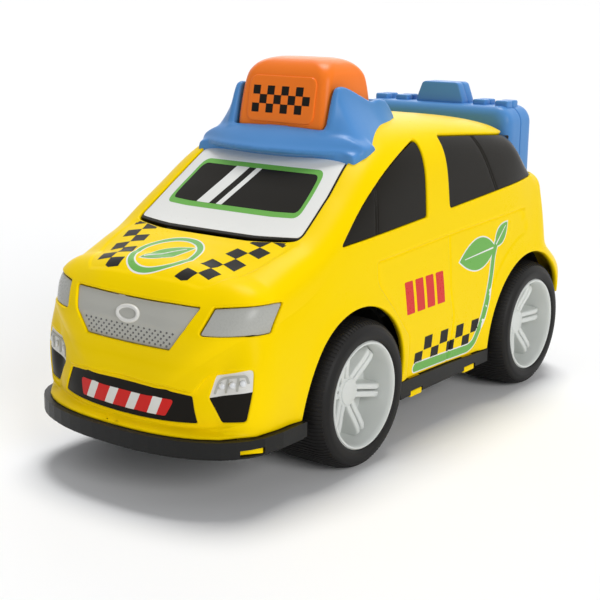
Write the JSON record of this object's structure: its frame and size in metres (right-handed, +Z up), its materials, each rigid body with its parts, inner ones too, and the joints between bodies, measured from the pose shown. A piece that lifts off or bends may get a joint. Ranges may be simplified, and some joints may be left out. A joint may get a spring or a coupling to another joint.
{
  "type": "toy taxi",
  "caption": "Chunky moulded toy taxi with a rounded yellow body, dark windows, spinning wheels, a blue roof cap with a press-down orange sign, and a blue suitcase on its tail.",
  "frame": {"origin": "on the ground under the middle of the car", "axes": "+Z up, the car faces -Y, +X is the car's left side"},
  "size_m": [0.1084, 0.2538, 0.144],
  "materials": {
    "yellow_shell": "glossy moulded plastic",
    "dark_window": "glossy dark plastic",
    "grey_trim": "satin silver-grey plastic",
    "black_chassis": "satin black plastic",
    "steel": "bright steel",
    "cell": "wrapped cell",
    "speaker_black": "matt black",
    "board": "green laminate",
    "switch_black": "matt black",
    "lamp_clear": "clear epoxy",
    "blue_plastic": "glossy moulded plastic",
    "orange_plastic": "glossy moulded plastic",
    "slide_grey": "matt grey plastic",
    "rim_grey": "satin light grey plastic",
    "tyre_black": "matt black, ribbed"
  },
  "bodies": {
    "car": {"body_shell": "yellow_shell", "window_insert": "dark_window", "grille_panel": "grey_trim", "headlamp_left": "grey_trim", "headlamp_right": "grey_trim", "chassis_base": "black_chassis", "battery_door": "black_chassis", "chassis_screws": "steel", "battery_door_screw": "steel", "board_screws": "steel", "sign_spring": "steel", "battery_contacts": "steel", "battery_left": "cell", "battery_right": "cell", "speaker": "speaker_black", "circuit_board": "board", "push_switch": "switch_black", "sign_lamp": "lamp_clear", "roof_cap": "blue_plastic", "suitcase_front": "blue_plastic", "suitcase_back": "blue_plastic"},
    "front_wheels": {"front_axle": "steel", "front_rim_left": "rim_grey", "front_rim_right": "rim_grey", "front_tyre_left": "tyre_black", "front_tyre_right": "tyre_black"},
    "rear_wheels": {"rear_axle": "steel", "rear_rim_left": "rim_grey", "rear_rim_right": "rim_grey", "rear_tyre_left": "tyre_black", "rear_tyre_right": "tyre_black"},
    "sign": {"roof_sign": "orange_plastic"},
    "slide": {"power_slide": "slide_grey"}
  },
  "joints": [
    {"name": "front_wheels_spin", "type": "hinge", "parent": "car", "child": "front_wheels", "pos_m": [0, -0.05, 0.0275], "axis": [1, 0, 0], "continuous": true},
    {"name": "rear_wheels_spin", "type": "hinge", "parent": "car", "child": "rear_wheels", "pos_m": [0, 0.082, 0.0275], "axis": [1, 0, 0], "continuous": true},
    {"name": "sign_press", "type": "slide", "parent": "car", "child": "sign", "axis": [0, 0, -1], "range_m": [0, 0.003], "stiffness_N_per_m": 300, "springref_m": -0.002},
    {"name": "power_slide_move", "type": "slide", "parent": "car", "child": "slide", "axis": [0, 1, 0], "range_m": [0, 0.004]}
  ]
}
